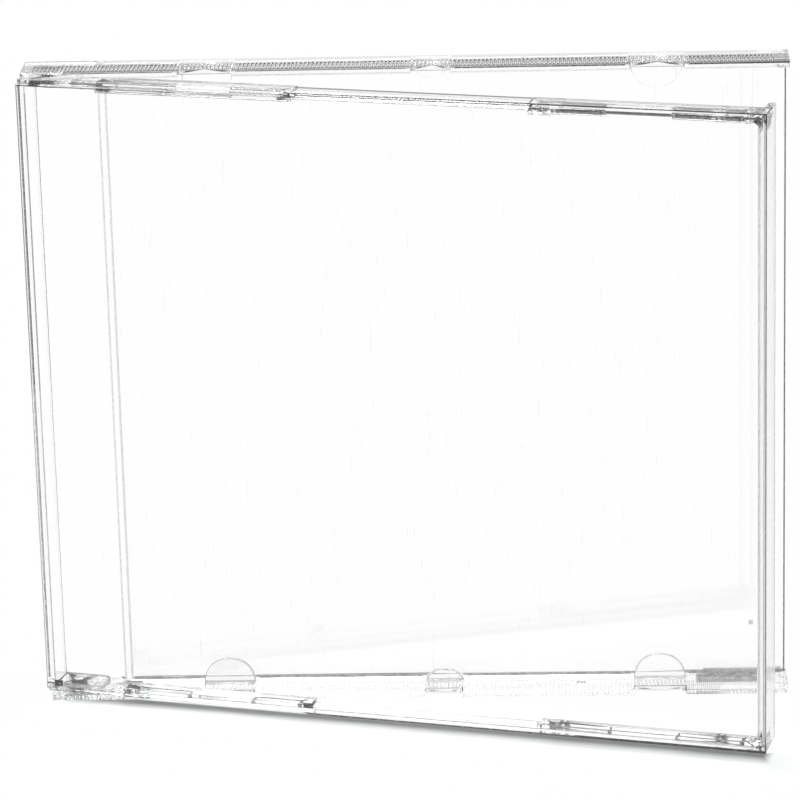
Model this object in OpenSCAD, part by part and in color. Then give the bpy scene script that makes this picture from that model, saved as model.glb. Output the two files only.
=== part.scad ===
// Clear moulded case for one disc, without its tray: a front cover that swings
// on two pins in a rear shell. The case stands on its long edge, cover ajar.
// X runs from the hinge to the opening edge, Y through the case, Z up.
// The hinge axis is the line x = 0, y = 0, and the cover stands on z = 0.

/* [Case] */
// Length from the hinge edge to the opening edge
case_length = 142; // [110:1:200]
// Height of the case as it stands on its long edge
case_height = 124.5; // [95:0.5:180]
// Thickness of the closed case
case_depth = 10.2; // [9.4:0.1:14]
// Angle at which the cover stands open
open_angle = 14.2; // [0:0.1:90]

/* [Front cover] */
// Thickness of the cover's window panel
cover_panel = 1.2; // [0.8:0.1:1.6]
// Thickness of the cover's long side walls
cover_wall = 1.15; // [0.8:0.05:1.4]
// How far the side walls run past the panel at the opening edge
cover_overrun = 0.3; // [0.1:0.1:1]
// How far the side walls stop short of the case's back
cover_rise = 0.3; // [0.1:0.1:0.6]
// Radius of the small corners of the side walls
wall_corner = 0.7; // [0.2:0.1:1.2]
// Radius of the fillet between the side walls and the panel
cover_root = 0.8; // [0.4:0.1:1.2]

/* [Hinge] */
// Distance from the hinge edge of the case to the hinge axis
pin_inset = 5; // [4:0.1:7]
// Diameter of the hinge pins
pin_d = 3; // [2:0.1:3.6]
// Gap all round between a pin and its hole
pin_play = 0.05; // [0.02:0.01:0.1]
// How far each pin stands past the ear that it turns in
pin_reach = 0.5; // [0:0.05:0.6]
// Lead-in chamfer on the end of each pin
pin_chamfer = 0.4; // [0.1:0.05:0.8]
// Distance from the hinge edge to the cover panel's own edge
arm_length = 13.6; // [12:0.1:18]
// Radius of the inner corner where arm and panel meet
arm_fillet = 1; // [0.3:0.1:1.6]
// How far the shell's hinge ear reaches past twice the pin inset
ear_tail = 0.5; // [0.2:0.1:1.5]
// Radius of the ear's free corner
ear_round = 1.5; // [0.5:0.1:2.5]
// Height of the low link between the ear and the rail
ear_link = 2.6; // [2:0.1:3.4]

/* [Grip ribs] */
// Spacing of the fine grip ribs on the side walls
rib_pitch = 0.75; // [0.6:0.05:2]
// Width of the groove between two ribs
rib_groove = 0.35; // [0.2:0.05:0.5]
// Depth of the groove between two ribs
rib_depth = 0.2; // [0.1:0.05:0.3]
// Height of the ribbed band
rib_band = 4.4; // [3:0.1:6]
// Plain margin between the wall's free edge and the ribbed band
rib_margin = 1.4; // [1:0.1:2.4]
// Plain margin at each end of the ribbed band
rib_end = 2; // [1:0.1:6]

/* [Booklet tabs] */
// Width of the large half-moon tabs
tab_width = 10; // [6:0.1:14]
// Width of the small half-moon tab in the middle
small_tab_width = 7.2; // [4:0.1:10]
// Reach of the small half-moon tab
small_tab_reach = 2.4; // [1.5:0.1:3.5]
// Thickness of the half-moon tabs
tab_thickness = 1; // [0.6:0.1:1.2]
// Slot for the booklet between a tab and the panel
booklet_slot = 1.4; // [0.8:0.1:1.6]
// How far the slot's opening reaches above the wall
slot_rise = 0.5; // [0.2:0.1:0.7]
// Distance from the hinge edge to the middle of the first tab
tab_first = 34.2; // [26:0.1:40]
// Distance from the opening edge to the middle of the last tab
tab_last = 24.4; // [12:0.1:26]
// Depth of the notch in the wall's free edge at each tab
notch_depth = 2.2; // [1:0.1:2.6]
// Width of the booklet stop along the panel's hinge edge
stop_width = 1.3; // [0.8:0.1:2]
// Height of the booklet stop
stop_height = 1; // [0.5:0.1:1.2]

/* [Rear shell] */
// Thickness of the shell's back panel
shell_panel = 1.2; // [0.8:0.1:1.4]
// Thickness of the shell's side rails
shell_wall = 1.2; // [0.9:0.1:1.6]
// Thickness of the shell's two spine walls
spine_wall = 1.3; // [1:0.1:1.8]
// Gap between a cover wall and the shell beside it
side_gap = 0.22; // [0.1:0.02:0.4]
// Gap between the cover panel and the spine walls when closed
lid_gap = 0.3; // [0.1:0.05:0.5]
// How far the shell stops short of the cover at the opening edge
shell_setback = 0.2; // [0.1:0.05:0.5]
// Height of the plain middle stretch of the rails
rail_height = 4.75; // [4.2:0.05:5]
// Height of the rails' thicker pad beside the hinge
hinge_pad_height = 5.6; // [5:0.1:5.9]
// Height of the rails' thicker pad beside the opening edge
far_pad_height = 5.1; // [4.5:0.1:5.9]
// How far the pads stand inward of the rail
pad_step = 0.5; // [0.2:0.1:1]
// Depth of the relief along the long edges beside the hinge
relief_depth = 1; // [0.4:0.1:1.1]
// Height of that relief
relief_height = 0.8; // [0.3:0.1:1]
// Length of the ramp that ends the relief
relief_ramp = 2; // [0.5:0.1:4]
// Radius of the rounded outer corners of the mouldings
outer_round = 0.35; // [0.1:0.05:0.5]
// Radius of the rounded long edges of walls and rails
edge_round = 0.3; // [0.1:0.05:0.4]
// Radius of the fillets between the spine walls and the back panel
root_fillet = 0.5; // [0.2:0.05:0.8]
// Radius of the fillets between the rails and the back panel
rail_root = 0.3; // [0.1:0.05:0.35]
// Radius of the inner corners beside the opening spine
inner_corner = 2; // [0.8:0.1:3]

/* [Tray clips] */
// Distance from the hinge edge to the middle of the first clip seat
clip_first = 35.2; // [34:0.1:38]
// Distance from the opening edge to the middle of the second clip seat
clip_last = 24; // [18:0.1:26]
// Length of a clip seat, the plain stretch between two grooves
clip_seat = 12; // [8:0.1:14]
// Length of the groove between the first clip seat and the hinge
hinge_groove = 11.6; // [7:0.1:12]
// Length of the hinge pad past its clip seat
hinge_pad_run = 12.1; // [8:0.1:14]
// Length of the far pad before its clip seat
far_pad_run = 14.1; // [8:0.1:16]
// Width of the clip grooves
groove_width = 1.6; // [1:0.1:2]
// Depth of the clip grooves
groove_depth = 0.8; // [0.3:0.1:1.1]
// Height of the grooves above the back panel
groove_lift = 0.4; // [0.2:0.1:0.8]
// Solid end of a pad past its groove
pad_end = 2; // [1:0.1:3]
// Distance from the far pad's ends to its snap pips
pip_inset = 4.6; // [3:0.1:6]
// Diameter of the round pips that the tray snaps past
pip_d = 2; // [1:0.1:2.4]
// How far the pips stand out
pip_rise = 0.4; // [0.2:0.1:0.6]

/* [Hidden] */
eps = 0.01;
$fn = 48;
// Places along X from the hinge edge of the case, then through the case along Y
axis_x = pin_inset;
axis_y = case_depth / 2;
panel_end = case_length - cover_overrun;
shell_end = panel_end - shell_setback;
panel_inner = case_depth - cover_panel;
spine_top = panel_inner - lid_gap;
// The shell stands between the cover's walls
shell_low = cover_wall + side_gap;
shell_height = case_height - 2 * shell_low;
rail_inner = shell_low + shell_wall;
pad_inner = rail_inner + pad_step;
// Booklet tabs
tab_top = panel_inner - booklet_slot;
tab_far = case_length - tab_last;
tab_places = [tab_first, (tab_first + tab_far) / 2, tab_far];
tab_widths = [tab_width, small_tab_width, tab_width];
tab_reaches = [tab_width / 2, small_tab_reach, tab_width / 2];
// Ribbed band on the cover's walls, with a plain rib over each pin
rib_low = cover_rise + rib_margin;
rib_count_back = floor((axis_x - rib_end) / rib_pitch);
rib_count_front = floor((panel_end - rib_end - axis_x) / rib_pitch);
// Hinge ear of the shell
pin_r = pin_d / 2;
hole_r = pin_r + pin_play;
ear_end = 2 * axis_x + ear_tail;
pin_length = side_gap + shell_wall + pin_reach;
// Clip seats, and the pads that carry them with a groove on each side
hinge_seat = clip_first;
far_seat = case_length - clip_last;
half_seat = clip_seat / 2;
hinge_pad_start = hinge_seat - half_seat - hinge_groove - pad_end;
hinge_pad_end = hinge_seat + half_seat + hinge_pad_run;
far_pad_start = far_seat - half_seat - far_pad_run;
far_groove_end = shell_end - spine_wall - inner_corner - pad_end / 2;
grooves = [
    [hinge_seat - half_seat - hinge_groove, hinge_seat - half_seat],
    [hinge_seat + half_seat, hinge_pad_end - pad_end],
    [far_pad_start + pad_end, far_seat - half_seat],
    [far_seat + half_seat, far_groove_end],
];
groove_low = shell_panel + groove_lift;
groove_mid = groove_low + groove_width / 2;
pip_mid = groove_low + groove_width;
pips = [hinge_pad_start + pad_end / 2, far_pad_start + pip_inset, far_groove_end - pip_inset];

// Area between a corner and its rounding, in the quadrant given by the turn: a
// fillet when it is added to an inner corner, a rounding when it is cut away
module corner(radius, turn) {
    rotate(turn)
        difference() {
            translate([-eps, -eps]) square(radius + eps);
            translate([radius, radius]) circle(r = radius);
        }
}

// Bar along X between two places, from a section drawn in Y and Z
module along_x(from, to) {
    translate([from, 0, 0])
        rotate([90, 0, 90])
            linear_extrude(to - from) children();
}

// Half-moon tab seen from the front: a part of a disc that stands on its chord
module half_moon(width, reach) {
    radius = (width * width / 4 + reach * reach) / (2 * reach);
    intersection() {
        translate([0, reach - radius]) circle(r = radius, $fn = 96);
        translate([-width / 2, 0]) square([width, reach + eps]);
    }
}

// Outline of a cover side wall in X and Y, arm and notches included
module cover_wall_outline() {
    difference() {
        union() {
            translate([0, cover_rise + wall_corner])
                square([case_length, case_depth - cover_rise - wall_corner]);
            translate([wall_corner, cover_rise])
                square([case_length - 2 * wall_corner, wall_corner + eps]);
            for (x = [wall_corner, case_length - wall_corner])
                translate([x, cover_rise + wall_corner]) circle(r = wall_corner);
        }
        for (i = [0:2])
            translate([tab_places[i] - tab_widths[i] / 2, cover_rise - eps])
                square([tab_widths[i], notch_depth + eps]);
    }
}

// Comb that cuts the grooves between the grip ribs, drawn in X and Z
module rib_comb() {
    for (i = [-rib_count_back:rib_count_front - 1])
        translate([axis_x + (i + 0.5) * rib_pitch - rib_groove / 2, -eps])
            square([rib_groove, rib_depth + eps]);
}

// One long side of the cover: ribbed wall, tabs, booklet windows and hinge pin
module cover_side() {
    difference() {
        union() {
            linear_extrude(cover_wall) cover_wall_outline();
            along_x(arm_length, panel_end) translate([panel_inner, cover_wall]) corner(cover_root, 90);
            translate([arm_length, case_depth, cover_wall])
                rotate([90, 0, 0]) linear_extrude(cover_panel - outer_round) corner(arm_fillet, 90);
        }
        translate([0, rib_low + rib_band, 0])
            rotate([90, 0, 0])
                linear_extrude(rib_band) rib_comb();
        for (i = [0:2])
            translate([tab_places[i] - tab_widths[i] / 2, tab_top, -eps])
                cube([tab_widths[i], booklet_slot, cover_wall + slot_rise + eps]);
    }
    for (i = [0:2])
        translate([tab_places[i], tab_top, cover_wall - eps])
            rotate([90, 0, 0])
                linear_extrude(tab_thickness) half_moon(tab_widths[i], tab_reaches[i] + eps);
    translate([axis_x, axis_y, cover_wall - eps])
        cylinder(r = pin_r, h = pin_length - pin_chamfer + eps);
    translate([axis_x, axis_y, cover_wall + pin_length - pin_chamfer])
        cylinder(r1 = pin_r, r2 = pin_r - pin_chamfer, h = pin_chamfer);
}

// Section of the cover in X and Y: panel with rounded edges and the booklet stop
module window_section() {
    run = panel_end - arm_length;
    translate([arm_length, 0]) {
        translate([0, case_depth]) mirror([0, 1]) rounded_slab(run, cover_panel, outer_round);
        translate([0, panel_inner - stop_height]) {
            square([stop_width, stop_height + eps]);
        }
        translate([stop_width, panel_inner]) corner(stop_height / 2, 270);
    }
}

// Window panel of the cover with the booklet stop along its hinge edge
module cover_window() {
    linear_extrude(case_height) window_section();
}

// Cutter that rounds the long edges of one side of the cover
module cover_edges() {
    along_x(-eps, case_length + eps) {
        translate([cover_rise, 0]) corner(edge_round, 0);
        translate([cover_rise, cover_wall]) corner(edge_round / 2, 270);
        translate([case_depth, 0]) corner(edge_round, 90);
    }
}

// Front cover, closed, in the corner frame of the case
module closed_cover() {
    difference() {
        union() {
            cover_window();
            cover_side();
            translate([0, 0, case_height]) mirror([0, 0, 1]) cover_side();
        }
        cover_edges();
        translate([0, 0, case_height]) mirror([0, 0, 1]) cover_edges();
    }
}

// Outline of the hinge ear and the low link beside it, in X and Y
module ear_outline() {
    difference() {
        square([ear_end, spine_top]);
        translate([0, spine_top]) corner(edge_round, 270);
        translate([ear_end, spine_top]) corner(ear_round, 180);
    }
    translate([ear_end - eps, 0]) square([hinge_pad_start - ear_end + 2 * eps, ear_link]);
}

// Stretch of rail with rounded top edges and a fillet along the back panel
module rail_bar(from, to, height, width) {
    along_x(from, to) {
        difference() {
            translate([0, shell_low]) square([height, width]);
            translate([height, shell_low]) corner(edge_round, 90);
            translate([height, shell_low + width]) corner(edge_round, 180);
        }
        translate([shell_panel, shell_low + width]) corner(rail_root, 0);
    }
}

// Groove with round ends beside a clip seat, drawn in X and Y
module clip_slot(run) {
    r = groove_width / 2;
    translate([r, -r]) square([run - groove_width, groove_width]);
    for (x = [r, run - r]) translate([x, 0]) circle(r = r);
}

// One long side of the shell: rail, thicker pads with clip grooves, and pips
module shell_side() {
    difference() {
        union() {
            translate([0, 0, shell_low]) linear_extrude(shell_wall) ear_outline();
            rail_bar(hinge_pad_start, hinge_pad_end, hinge_pad_height, shell_wall + pad_step);
            rail_bar(hinge_pad_end - eps, far_pad_start + eps, rail_height, shell_wall);
            rail_bar(far_pad_start, shell_end - spine_wall + eps, far_pad_height, shell_wall + pad_step);
        }
        translate([axis_x, axis_y, shell_low - eps])
            cylinder(r = hole_r, h = shell_wall + 2 * eps);
        for (run = grooves)
            translate([run[0], groove_mid, pad_inner - groove_depth])
                linear_extrude(groove_depth + eps) clip_slot(run[1] - run[0]);
    }
    for (x = pips)
        translate([x, pip_mid, pad_inner - groove_depth])
            cylinder(d1 = pip_d, d2 = pip_d - pip_rise, h = groove_depth + pip_rise);
}

// Rounded filler in the inner corner beside the opening spine
module corner_filler() {
    translate([shell_end - spine_wall - inner_corner, 0, pad_inner - eps])
        difference() {
            cube([inner_corner + eps, far_pad_height - edge_round, inner_corner + eps]);
            translate([0, -eps, inner_corner])
                rotate([-90, 0, 0]) cylinder(r = inner_corner, h = far_pad_height);
        }
}

// Cutter along one long outer edge: a rounding, and beside the hinge a relief
// that sets the edge back and ends in a ramp
module shell_edges() {
    along_x(-eps, shell_end + eps) translate([0, shell_low]) corner(edge_round, 0);
    translate([0, 0, shell_low - eps])
        linear_extrude(relief_height + eps)
            polygon([
                [-eps, -eps], [hinge_pad_end, -eps], [hinge_pad_end, 0],
                [hinge_pad_end - relief_ramp, relief_depth], [-eps, relief_depth],
            ]);
}

// Bar with two rounded edges on its -Y side, drawn in X and Y
module rounded_slab(length, depth, radius) {
    translate([radius, 0]) square([length - 2 * radius, depth]);
    translate([0, radius]) square([length, depth - radius]);
    for (x = [radius, length - radius]) translate([x, radius]) circle(r = radius);
}

// Section of the shell in X and Y: back panel with a spine wall at each end
module shell_section() {
    inner = shell_end - spine_wall;
    difference() {
        rounded_slab(shell_end, spine_top, outer_round);
        translate([spine_wall, shell_panel])
            square([inner - spine_wall, spine_top]);
        for (x = [0, inner]) {
            translate([x, spine_top]) corner(edge_round, 270);
            translate([x + spine_wall, spine_top]) corner(edge_round, 180);
        }
    }
    translate([spine_wall, shell_panel]) corner(root_fillet, 0);
    translate([inner, shell_panel]) corner(root_fillet, 90);
}

// Rear shell in the corner frame of the case
module shell_body() {
    difference() {
        union() {
            translate([0, 0, shell_low]) linear_extrude(shell_height) shell_section();
            shell_side();
            corner_filler();
            translate([0, 0, case_height]) mirror([0, 0, 1]) {
                shell_side();
                corner_filler();
            }
        }
        shell_edges();
        translate([0, 0, case_height]) mirror([0, 0, 1]) shell_edges();
    }
}

module rear_shell() {
    color("aliceblue", 0.4)
        translate([-axis_x, -axis_y, 0]) shell_body();
}

module front_cover() {
    color("lightcyan", 0.4)
        rotate([0, 0, open_angle])
            translate([-axis_x, -axis_y, 0]) closed_cover();
}

rear_shell();
front_cover();
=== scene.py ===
"""Clear hinged disc case without its tray, standing ajar on its long edge in soft white studio light."""
import math

import bpy
from mathutils import Matrix, Vector

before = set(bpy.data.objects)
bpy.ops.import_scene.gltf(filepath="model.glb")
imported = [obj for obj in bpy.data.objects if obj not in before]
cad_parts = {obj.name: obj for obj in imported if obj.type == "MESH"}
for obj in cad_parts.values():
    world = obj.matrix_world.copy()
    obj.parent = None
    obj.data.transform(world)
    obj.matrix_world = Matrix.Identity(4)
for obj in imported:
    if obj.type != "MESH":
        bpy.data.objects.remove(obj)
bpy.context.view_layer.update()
scene = bpy.context.scene
scene.view_settings.view_transform = "Standard"

# Camera
# The view of the photograph: a long lens, a little above the case and to the right of its back,
# turned slightly about its own axis.
AIM = Vector((0.0648, 0.005, 0.0623))
AZIMUTH = math.radians(16.57)
ELEVATION = math.radians(17.97)
ROLL = math.radians(-1.5)
DISTANCE = 0.8048
LENS = 193.6
SENSOR = 36
NEAREST = 0.01
FARTHEST = 10

lens = bpy.data.cameras.new("camera")
lens.lens = LENS
lens.sensor_width = SENSOR
lens.clip_start = NEAREST
lens.clip_end = FARTHEST
camera = bpy.data.objects.new("camera", lens)
scene.collection.objects.link(camera)
towards = Vector((
    math.sin(AZIMUTH) * math.cos(ELEVATION),
    -math.cos(AZIMUTH) * math.cos(ELEVATION),
    math.sin(ELEVATION),
))
turn = towards.to_track_quat("Z", "Y").to_matrix().to_4x4() @ Matrix.Rotation(ROLL, 4, "Z")
camera.matrix_world = Matrix.Translation(AIM + towards * DISTANCE) @ turn
scene.camera = camera

# Floor and backdrop
# White paper, which shows as plain white and takes the soft shadow of the case close to it. A painted
# shade darkens the paper's colour in a long strip under the shell's lower rail, where little light comes
# in.
PAPER_WHITE = 0.9
PAPER_HALF = 1.6
PAPER_PLACE = (0.065, 0.02, -0.0003)
SHADOW_SHARE = 0.6
SHADOW_REACH = 0.012
CASE_MIDDLE = (0.0655, -0.001, 0)
CASE_HALF = (0.0705, 0.004, 1)
SHADE_MIDDLE = (0.0675, 0, 0)
SHADE_HALF = (0.067, 1, 1)
SHADE_LINE = -0.0018
SHADE_FRONT = 0.0044
SHADE_END = 0.003
SHADE_BACK = 0.002
SHADE_LEVEL = 0.22


def wire(tree, kind, operation, values):
    node = tree.nodes.new(kind)
    node.operation = operation
    for socket, value in zip(node.inputs, values):
        if isinstance(value, bpy.types.NodeSocket):
            tree.links.new(value, socket)
        else:
            socket.default_value = value
    return node


def number(tree, operation, *values):
    return wire(tree, "ShaderNodeMath", operation, values).outputs[0]


def vector(tree, operation, *values):
    return wire(tree, "ShaderNodeVectorMath", operation, values).outputs[0]


def ramp(tree, value, start, stop, low, high, shape="LINEAR"):
    node = tree.nodes.new("ShaderNodeMapRange")
    node.interpolation_type = shape
    node.inputs["From Min"].default_value = start
    node.inputs["From Max"].default_value = stop
    node.inputs["To Min"].default_value = low
    node.inputs["To Max"].default_value = high
    tree.links.new(value, node.inputs["Value"])
    return node.outputs[0]


def parts(tree, triple):
    node = tree.nodes.new("ShaderNodeSeparateXYZ")
    tree.links.new(triple, node.inputs[0])
    return node.outputs


def beyond(tree, spot, middle, half):
    off = vector(tree, "ABSOLUTE", vector(tree, "SUBTRACT", spot, middle))
    return vector(tree, "SUBTRACT", off, half)


def distance(tree, spot, middle, half):
    off = vector(tree, "MAXIMUM", beyond(tree, spot, middle, half), (0, 0, 0))
    return wire(tree, "ShaderNodeVectorMath", "LENGTH", [off]).outputs["Value"]


# Painted shadow: the paper's colour grows darker in a strip under the shell's lower rail, fading in
# front of it, behind it and past its ends.
def painted_rail_shade(tree, spot):
    behind = number(tree, "SUBTRACT", parts(tree, spot)[1], SHADE_LINE)
    front_shade = ramp(tree, behind, -SHADE_FRONT, 0, 1, SHADE_LEVEL, "SMOOTHSTEP")
    back_shade = ramp(tree, behind, 0, SHADE_BACK, 0, 1, "SMOOTHSTEP")
    off = distance(tree, spot, SHADE_MIDDLE, SHADE_HALF)
    past_end = ramp(tree, off, 0, SHADE_END, 0, 1, "SMOOTHSTEP")
    shade = number(tree, "MAXIMUM", front_shade, back_shade)
    return number(tree, "MAXIMUM", shade, past_end)


def plain_share(tree, spot):
    rays = tree.nodes.new("ShaderNodeLightPath")
    seen = number(tree, "MAXIMUM", rays.outputs["Is Camera Ray"], rays.outputs["Is Glossy Ray"])
    seen = number(tree, "MAXIMUM", seen, rays.outputs["Is Transmission Ray"])
    gap = distance(tree, spot, CASE_MIDDLE, CASE_HALF)
    clear = ramp(tree, gap, 0, SHADOW_REACH, 1 - SHADOW_SHARE, 1, "SMOOTHSTEP")
    return number(tree, "MULTIPLY", seen, clear)


paper = bpy.data.materials.new("white_paper")
paper.use_nodes = True
tree = paper.node_tree
nodes, links = tree.nodes, tree.links
nodes.clear()
spot = nodes.new("ShaderNodeNewGeometry").outputs["Position"]
# The painted shade darkens both the lit and the plain white parts of the paper.
shade = painted_rail_shade(tree, spot)
painted_shade_tint = nodes.new("ShaderNodeCombineXYZ")
for socket in painted_shade_tint.inputs:
    links.new(shade, socket)
pale = vector(tree, "MULTIPLY", painted_shade_tint.outputs[0], (PAPER_WHITE, PAPER_WHITE, PAPER_WHITE))
lit = nodes.new("ShaderNodeBsdfDiffuse")
links.new(pale, lit.inputs["Color"])
plain = nodes.new("ShaderNodeEmission")
links.new(painted_shade_tint.outputs[0], plain.inputs["Color"])
both = nodes.new("ShaderNodeMixShader")
out = nodes.new("ShaderNodeOutputMaterial")
links.new(plain_share(tree, spot), both.inputs[0])
links.new(lit.outputs[0], both.inputs[1])
links.new(plain.outputs[0], both.inputs[2])
links.new(both.outputs[0], out.inputs["Surface"])

bpy.ops.mesh.primitive_plane_add(size=2 * PAPER_HALF, location=PAPER_PLACE)
floor = bpy.context.object
floor.name = "floor"
floor.data.materials.append(paper)

# Light
# White all round, so that the flat faces stay white, with a weaker fill for dull surfaces. A soft
# lamp above and behind the case casts the lit shadow on the paper, beside the shade painted under the
# lower rail. Light runs far inside the plastic, so it may bounce more often than usual.
ROOM_FILL = 0.4
BOUNCES = 16
LAMP_PLACE = Vector((-0.25, 0.5, 0.8))
LAMP_SIZE = 0.5
LAMP_POWER = 8

world = bpy.data.worlds.new("world")
scene.world = world
world.use_nodes = True
nodes, links = world.node_tree.nodes, world.node_tree.links
nodes.clear()
fill = nodes.new("ShaderNodeBackground")
fill.inputs["Strength"].default_value = ROOM_FILL
white = nodes.new("ShaderNodeBackground")
rays = nodes.new("ShaderNodeLightPath")
both = nodes.new("ShaderNodeMixShader")
out = nodes.new("ShaderNodeOutputWorld")
for background in (fill, white):
    background.inputs["Color"].default_value = (1, 1, 1, 1)
links.new(rays.outputs["Is Diffuse Ray"], both.inputs[0])
links.new(white.outputs[0], both.inputs[1])
links.new(fill.outputs[0], both.inputs[2])
links.new(both.outputs[0], out.inputs["Surface"])

soft_box = bpy.data.lights.new("back_light", "AREA")
soft_box.shape = "SQUARE"
soft_box.size = LAMP_SIZE
soft_box.energy = LAMP_POWER
lamp = bpy.data.objects.new("back_light", soft_box)
scene.collection.objects.link(lamp)
lamp.location = LAMP_PLACE
lamp.rotation_euler = (AIM - LAMP_PLACE).to_track_quat("-Z", "Y").to_euler()
scene.cycles.max_bounces = BOUNCES
scene.cycles.transmission_bounces = BOUNCES
scene.cycles.glossy_bounces = BOUNCES

# Rear shell
# The back panel with two spine walls, two side rails and the hinge ears, moulded in one in clear
# polystyrene. It stands on its lower rail and carries the cover.
PER_METRE = 1000
CASE_HEIGHT = 124.5
HINGE_AXIS = (5, 5.1)

# Rounded edges of clear plastic look dark in a white room, where they bend the light, and that darkness
# is painted into the colour: surfaces that face between the three directions of the moulding take a
# painted dark tone. Fades weaken it, and bands and blotches paint shade onto flat faces too, apart from
# the single dust marks. A row holds, in millimetres from the closed case's corner, its ranges of X, Y
# and depth from the nearer long side, and then its level beside the lower and beside the upper long
# side.
EDGE_START = 0.995
EDGE_FULL = 0.9
SOFT_RIM = 0.12
SHELL_FADES = [
    # Roots of the side rails
    ((-1, 98), (1.1, 1.8), (2.3, 4), 0.1, 0.6),
    ((98, 143), (1.1, 1.8), (2.3, 4), 0.5, 0.05),
    # Edges between the panel and the rails' outer faces
    ((-1, 52), (-0.5, 1.4), (0.8, 2.7), 0.6, 0.45),
    ((52, 98), (-0.5, 0.5), (0.8, 2), 1, 0.85),
    # Free edges of the side rails
    ((13, 143), (4, 6.2), (0.8, 1.9), 0.5, 1),
    ((13, 143), (4, 6.2), (2.1, 3.4), 0.3, 1),
    ((53.6, 97.6), (4, 6.2), (2.1, 3.4), 1, 0.1),
    # Spine walls
    ((-1, 3), (-1, 9), (3.4, 63), 0.75, 1),
    ((137, 140.4), (-1, 2), (3.4, 63), 0.5, 0.5),
    ((140.4, 143), (-1, 2), (3.4, 63), 0.75, 0.75),
    ((139.5, 143), (5.6, 9.3), (0.8, 2.4), 1, 0.15),
]
SHELL_BANDS = [
    # Tops of the far pads
    ((98, 138.6), (4.8, 5.4), (2.75, 3.3), 0.1, 0.25),
    # Floors of the clip grooves
    ((99.8, 101.4), (1.5, 3.5), (2.1, 3.3), 0.7, 0.8),
    ((103.7, 112.1), (1.5, 3.5), (2.1, 3.3), 0.12, 1),
    ((123.9, 131.4), (1.5, 3.5), (2.1, 3.3), 0.1, 1),
    ((133.8, 137.4), (1.5, 3.5), (2.1, 3.3), 0.15, 1),
    ((18, 29.3), (2.9, 3.5), (2.1, 3.3), 0.15, 0.3),
    ((41, 51.5), (2.9, 3.5), (2.1, 3.3), 0.15, 0.4),
    # Painted shade on the panel's outer face, at the ends of the hinge pads and beside the hinge
    ((51.4, 53.5), (-0.3, 0.3), (1.3, 2.35), 0, 0.95),
    ((52, 54), (-0.3, 0.3), (2.65, 3.85), 0.95, 0),
    ((2.4, 4.8), (-0.3, 1.5), (1.5, 2.5), 0, 0.95),
    ((10.2, 16.5), (-0.3, 1.5), (1.5, 2.1), 0, 0.7),
    ((1.6, 3.4), (-0.3, 0.6), (2.8, 4.2), 1, 0),
    ((3.4, 12.2), (-0.3, 0.4), (2.3, 3.8), 0.35, 0),
    # Lower rail, beside the panel
    ((8, 142), (-0.3, 0.7), (0.8, 1.9), 0.9, 0),
    ((105, 142), (-0.3, 0.8), (0.8, 2.05), 1, 0),
    # Outer faces of the rails, beside their free edges
    ((53, 98), (3.5, 5), (0.8, 1.8), 0, 1),
    ((98, 142), (4.4, 5.5), (0.8, 1.7), 0.3, 0.95),
    ((13, 53), (4.8, 5.9), (0.8, 1.7), 0, 0.8),
    # Spine wall at the opening side
    ((139.9, 142), (8.1, 9), (1.2, 63), 0.12, 0.12),
    ((141.3, 141.8), (-1, 9), (1.2, 63), 0.12, 0.12),
]
# Blotches of painted shade, broken up by noise, where the bent light darkens corners and pips.
SHELL_SHADE_BLOTCHES = [
    # Corners at the opening side
    ((137.5, 142), (-1, 5.8), (1, 3.3), 0.8, 0.8),
    # Hinge corners and the rails next to them
    ((-1, 13), (-0.5, 9), (1, 2.3), 0.7, 0.4),
    ((13, 20), (-0.5, 6), (1, 2.6), 0.7, 0.5),
    # Around the pips of the far pads
    ((97.6, 104), (0.9, 5.5), (1.8, 3.7), 0.5, 0.4),
    ((131, 134), (0.9, 5.5), (1.8, 3.7), 0.5, 0.4),
]

# Scales are waves of noise in a millimetre. Steps are the noise values at which a change begins and
# ends, and the levels at these two.
BLOTCH_SCALE = 1.3
BLOTCH_STEPS = (0.5, 0.6, 0, 1)
MOTTLE_SCALE = 1.3
MOTTLE_STEPS = (0.35, 0.65, 0.93, 1.2)
SCRATCH_SCALE = 0.05
SCRATCH_STRETCH = (60, 1, 3)
SCRATCH_STEPS = (0.7, 0.74, 0, 0.05)


def unturned(tree, direction, turned):
    node = tree.nodes.new("ShaderNodeVectorRotate")
    node.rotation_type = "Z_AXIS"
    node.inputs["Angle"].default_value = -turned
    tree.links.new(direction, node.inputs["Vector"])
    return node.outputs[0]


def closed_place(tree, where, turned):
    spot = vector(tree, "SCALE", unturned(tree, where, turned))
    spot.node.inputs["Scale"].default_value = PER_METRE
    return vector(tree, "ADD", spot, (*HINGE_AXIS, 0))


def largest(tree, triple):
    first, second, third = parts(tree, triple)
    return number(tree, "MAXIMUM", number(tree, "MAXIMUM", first, second), third)


def noise(tree, place, scale):
    node = tree.nodes.new("ShaderNodeTexNoise")
    node.inputs["Scale"].default_value = scale
    tree.links.new(place, node.inputs["Vector"])
    return node.outputs[0]


def fold(tree, spot):
    along, across, up = parts(tree, spot)
    above = number(tree, "SUBTRACT", up, CASE_HEIGHT / 2)
    upper = number(tree, "GREATER_THAN", above, 0)
    deep = number(tree, "SUBTRACT", CASE_HEIGHT / 2, number(tree, "ABSOLUTE", above))
    folded = tree.nodes.new("ShaderNodeCombineXYZ")
    for value, socket in zip((along, across, deep), folded.inputs):
        tree.links.new(value, socket)
    return folded.outputs[0], upper


def level(tree, upper, row):
    lower_level, upper_level = row[3:]
    return number(tree, "MULTIPLY_ADD", upper, upper_level - lower_level, lower_level)


def inside(tree, folded, row):
    middle = [(low + high) / 2 for low, high in row[:3]]
    half = [(high - low) / 2 for low, high in row[:3]]
    off = largest(tree, beyond(tree, folded, middle, half))
    return ramp(tree, off, 0, -SOFT_RIM, 0, 1)


# Painted shade: a dark tone by surface direction at the edges, weakened by fades, laid on flat faces by
# bands and noisy blotches and varied by mottle. Faint scratches join it.
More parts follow.
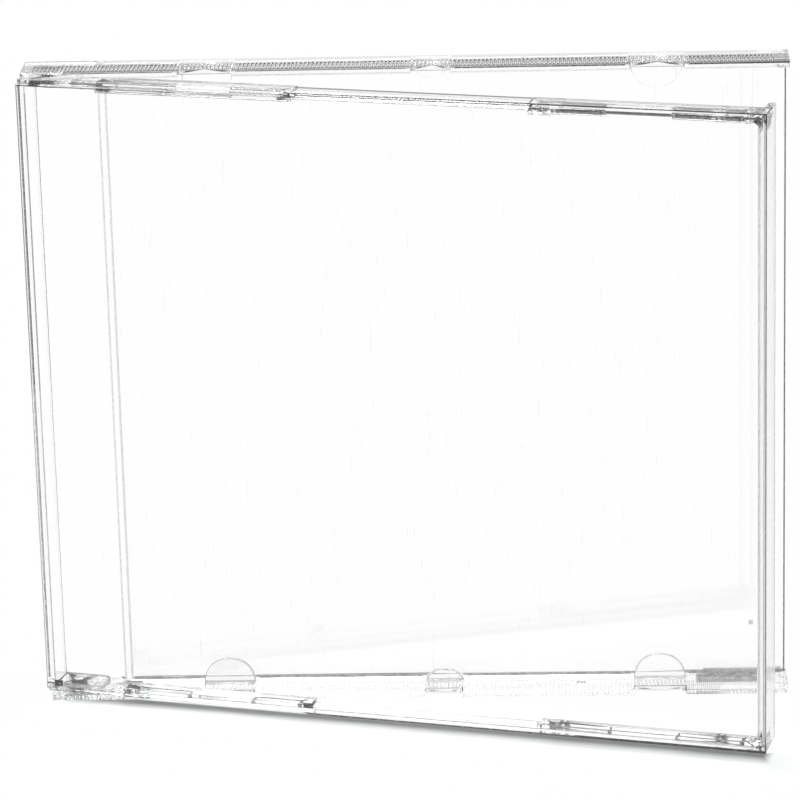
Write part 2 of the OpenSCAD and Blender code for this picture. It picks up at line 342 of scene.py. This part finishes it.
def dark_share(tree, spot, facing, fades, bands, shade_blotches):
    folded, upper = fold(tree, spot)
    dark = ramp(tree, largest(tree, facing), EDGE_START, EDGE_FULL, 0, 1)
    for row in fades:
        loss = number(tree, "SUBTRACT", 1, level(tree, upper, row))
        loss = number(tree, "MULTIPLY", loss, inside(tree, folded, row))
        dark = number(tree, "MULTIPLY", dark, number(tree, "SUBTRACT", 1, loss))
    for row in bands:
        band = number(tree, "MULTIPLY", level(tree, upper, row), inside(tree, folded, row))
        dark = number(tree, "MAXIMUM", dark, band)
    # Painted shade in blotches, cut out by noise.
    blots = ramp(tree, noise(tree, spot, BLOTCH_SCALE), *BLOTCH_STEPS)
    for row in shade_blotches:
        band = number(tree, "MULTIPLY", level(tree, upper, row), inside(tree, folded, row))
        dark = number(tree, "MAXIMUM", dark, number(tree, "MULTIPLY", band, blots))
    mottle = ramp(tree, noise(tree, spot, MOTTLE_SCALE), *MOTTLE_STEPS)
    drawn = vector(tree, "MULTIPLY", spot, SCRATCH_STRETCH)
    scratch = ramp(tree, noise(tree, drawn, SCRATCH_SCALE), *SCRATCH_STEPS)
    return number(tree, "MAXIMUM", number(tree, "MULTIPLY", dark, mottle), scratch)


# The gloss is worn unevenly and the faces wave slightly. Light on its way to a lamp, and light that
# has turned many times inside, goes straight through, so that long thin walls don't swallow it.
CLEAR = (0.995, 0.996, 0.996, 1)
DARK_TONE = (0.018, 0.019, 0.02, 1)
DARK_BODY = 0.75
BENDING = 1.59
STRAIGHT_CLEAR = (0.9, 0.91, 0.91, 1)
LAST_TURN = 7.5
WEAR_SCALE = 0.06
WEAR_STEPS = (0.35, 0.65, 0.008, 0.035)
FLOW_SCALE = 0.1
FLOW_STRENGTH = 0.02
FLOW_HEIGHT = 0.0001


def straight_through(tree, shader):
    straight = tree.nodes.new("ShaderNodeBsdfTransparent")
    straight.inputs["Color"].default_value = STRAIGHT_CLEAR
    path = tree.nodes.new("ShaderNodeLightPath")
    late = number(tree, "GREATER_THAN", path.outputs["Ray Depth"], LAST_TURN)
    passes = number(tree, "MAXIMUM", path.outputs["Is Shadow Ray"], late)
    mixed = tree.nodes.new("ShaderNodeMixShader")
    tree.links.new(passes, mixed.inputs[0])
    tree.links.new(shader, mixed.inputs[1])
    tree.links.new(straight.outputs[0], mixed.inputs[2])
    return mixed.outputs[0]


def clear_plastic(name, turned, fades, bands, shade_blotches):
    mat = bpy.data.materials.new(name)
    mat.use_nodes = True
    tree = mat.node_tree
    nodes, links = tree.nodes, tree.links
    nodes.clear()
    where = nodes.new("ShaderNodeTexCoord")
    spot = closed_place(tree, where.outputs["Object"], turned)
    facing = vector(tree, "ABSOLUTE", unturned(tree, where.outputs["Normal"], turned))
    # The painted shade, with the scratches and dust marks, darkens the colour and takes away
    # transmission.
    dark = dark_share(tree, spot, facing, fades, bands, shade_blotches)
    clear_share = ramp(tree, dark, 0, 1, 1, 1 - DARK_BODY)
    wear = ramp(tree, noise(tree, spot, WEAR_SCALE), *WEAR_STEPS)
    # Sockets 6 and 7 of a colour mix are its two colours, and socket 2 gives the mixed one.
    tone = nodes.new("ShaderNodeMix")
    tone.data_type = "RGBA"
    tone.inputs[6].default_value = CLEAR
    tone.inputs[7].default_value = DARK_TONE
    flow = nodes.new("ShaderNodeBump")
    flow.inputs["Strength"].default_value = FLOW_STRENGTH
    flow.inputs["Distance"].default_value = FLOW_HEIGHT
    plastic = nodes.new("ShaderNodeBsdfPrincipled")
    plastic.inputs["IOR"].default_value = BENDING
    out = nodes.new("ShaderNodeOutputMaterial")
    links.new(dark, tone.inputs[0])
    links.new(noise(tree, spot, FLOW_SCALE), flow.inputs["Height"])
    links.new(tone.outputs[2], plastic.inputs["Base Color"])
    links.new(clear_share, plastic.inputs["Transmission Weight"])
    links.new(wear, plastic.inputs["Roughness"])
    links.new(flow.outputs[0], plastic.inputs["Normal"])
    links.new(straight_through(tree, plastic.outputs[0]), out.inputs["Surface"])
    return mat


# Corners sharper than SHARP are rounded a little, apart from edges shorter than SHORTEST. The weld
# joins points within a micron, and a share says how much of the rounding a place takes.
SHARP = math.radians(40)
SHORTEST = 0.0003
SHELL_ROUNDING = 0.00025
ROUNDING_STEPS = 3
MICRONS = 1e6


def ends_of(mesh, corners):
    ends = []
    for corner in corners:
        ends.append(tuple(round(value * MICRONS) for value in mesh.vertices[corner].co))
    return tuple(sorted(ends))


def weigh_edges(mesh, share):
    facing = {}
    for face in mesh.polygons:
        for corners in face.edge_keys:
            facing.setdefault(ends_of(mesh, corners), []).append(face.normal)
    weights = mesh.attributes.new("bevel_weight_edge", "FLOAT", "EDGE")
    for edge in mesh.edges:
        ends = ends_of(mesh, edge.vertices)
        sides = facing[ends]
        length = math.dist(*ends) / MICRONS
        if len(sides) == 2 and length >= SHORTEST and sides[0].angle(sides[1]) > SHARP:
            middle = (Vector(ends[0]) + Vector(ends[1])) / (2 * MICRONS)
            weights.data[edge.index].value = share(middle)


def dress(node, mat, width, share=lambda place: 1):
    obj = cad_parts[node]
    mesh = obj.data
    mesh.materials.clear()
    mesh.materials.append(mat)
    mesh.shade_smooth()
    weigh_edges(mesh, share)
    weld = obj.modifiers.new("weld", "WELD")
    weld.merge_threshold = 1 / MICRONS
    rounding = obj.modifiers.new("rounding", "BEVEL")
    rounding.width = width
    rounding.segments = ROUNDING_STEPS
    rounding.limit_method = "WEIGHT"
    rounding.use_clamp_overlap = False
    even = obj.modifiers.new("even", "WEIGHTED_NORMAL")
    even.keep_sharp = True


shell_plastic = clear_plastic("shell_plastic", 0, SHELL_FADES, SHELL_BANDS, SHELL_SHADE_BLOTCHES)
dress("rear_shell", shell_plastic, SHELL_ROUNDING)

# Front cover
# The window panel with two ribbed walls that run on as hinge arms, moulded in one in the same
# polystyrene. Its two pins turn in the shell's ears, and it stands ajar by OPEN_ANGLE.
OPEN_ANGLE = math.radians(14.2)
COVER_ROUNDING = 0.00016
COVER_FADES = [
    # Free edges of the ribbed walls
    ((-1, 143), (-0.2, 0.75), (-0.5, 1.6), 0.05, 0.05),
    # Roots of the ribbed walls, and the tabs
    ((12, 143), (7.9, 9.3), (0.9, 2.3), 0.75, 0),
    ((12, 143), (6.2, 8.6), (1.3, 7), 0.55, 0.06),
    # Slots behind the tabs
    ((28.5, 40), (6.2, 9.3), (-0.5, 1.4), 0.3, 0),
    ((71.5, 80.3), (6.2, 9.3), (-0.5, 1.4), 0.3, 0),
    ((112, 123.3), (6.2, 9.3), (-0.5, 1.4), 0.3, 0),
    # Grip ribs, with a weaker tone over each upper tab
    ((-1, 122), (1.5, 6.2), (-0.5, 0.5), 0.03, 1),
    ((28.6, 39.8), (2.3, 6.3), (-0.5, 0.5), 1, 0.6),
    ((71.7, 80.1), (2.3, 6.3), (-0.5, 0.5), 1, 0.6),
    ((112, 123.2), (2.3, 6.3), (-0.5, 0.5), 1, 0.6),
    ((129, 143), (1.5, 6.2), (-0.5, 0.5), 0.1, 1),
    # Outer edges of the window panel, and its end at the hinge
    ((-1, 143), (9.4, 10.6), (-0.5, 1), 0.3, 0.05),
    ((13, 15.4), (7.6, 10.6), (1.3, 63), 0.35, 0.35),
]
COVER_BANDS = [
    # Margin between the ribs and the free edge of the upper wall
    ((8, 143), (0.35, 2.4), (-0.5, 0.3), 0, 1),
    # Free edge of the upper wall, apart from the notches at its tabs
    ((8, 28.4), (-0.3, 0.6), (-0.5, 0.25), 0, 0.8),
    ((40, 71.5), (-0.3, 0.6), (-0.5, 0.25), 0, 0.8),
    ((80.3, 111.8), (-0.3, 0.6), (-0.5, 0.3), 0, 0.9),
    ((123.4, 143), (-0.3, 0.6), (-0.5, 0.3), 0, 1),
    # Ribbed band of the upper wall
    ((-1, 143), (3, 7), (-0.5, 0.3), 0, 0.5),
    ((-1, 28.4), (3, 7), (-0.5, 0.3), 0, 0.55),
    ((40, 71.5), (3, 7), (-0.5, 0.3), 0, 0.55),
    ((80.3, 111.8), (3, 7), (-0.5, 0.3), 0, 0.65),
    ((123.4, 143), (3, 7), (-0.5, 0.3), 0, 0.75),
    # Inner face and root of the lower wall
    ((-1, 143), (2, 9), (0.9, 1.4), 0.14, 0),
    ((124.5, 138), (3.9, 9), (0.9, 1.4), 0.8, 0),
    ((126, 141), (8.1, 9.1), (0.9, 2.2), 0.6, 0),
    # Lower wall beside its tabs
    ((29.2, 39.2), (5.1, 7.7), (0.9, 1.4), 0.6, 0),
    ((72.3, 79.5), (5.1, 7.7), (0.9, 1.4), 0.45, 0),
    ((112.6, 122.6), (5.1, 7.7), (0.9, 1.4), 0.45, 0),
    # Single marks on the lower wall and on the window
    ((101.4, 103.4), (4.3, 5.2), (0.9, 1.4), 0.9, 0),
    ((134.8, 135.8), (8.6, 9.1), (11, 12), 0.6, 0),
]
# Blotches of painted shade, broken up by noise, at the hinge arms and the opening corners.
COVER_SHADE_BLOTCHES = [
    # Arms at the hinge, and the corners at the opening side
    ((0, 14), (0.2, 9), (-0.2, 1.5), 0.4, 0.3),
    ((139, 143), (0.2, 9), (-0.2, 1.5), 0.4, 0.5),
]

# The grip ribs stand so close together that their corners take only a share of the rounding. The
# band that they fill is held in metres, across the wall and deep into its face.
RIB_SHARE = 0.5
RIB_LOW = -0.0036
RIB_HIGH = 0.0012
RIB_DEEP = 0.00022


def rib_share(place):
    across = place.y * math.cos(OPEN_ANGLE) - place.x * math.sin(OPEN_ANGLE)
    in_band = RIB_LOW < across < RIB_HIGH
    within = RIB_DEEP < place.z < CASE_HEIGHT / PER_METRE - RIB_DEEP
    return RIB_SHARE if in_band and not within else 1


cover_plastic = clear_plastic("cover_plastic", OPEN_ANGLE, COVER_FADES, COVER_BANDS, COVER_SHADE_BLOTCHES)
dress("front_cover", cover_plastic, COVER_ROUNDING, rib_share)
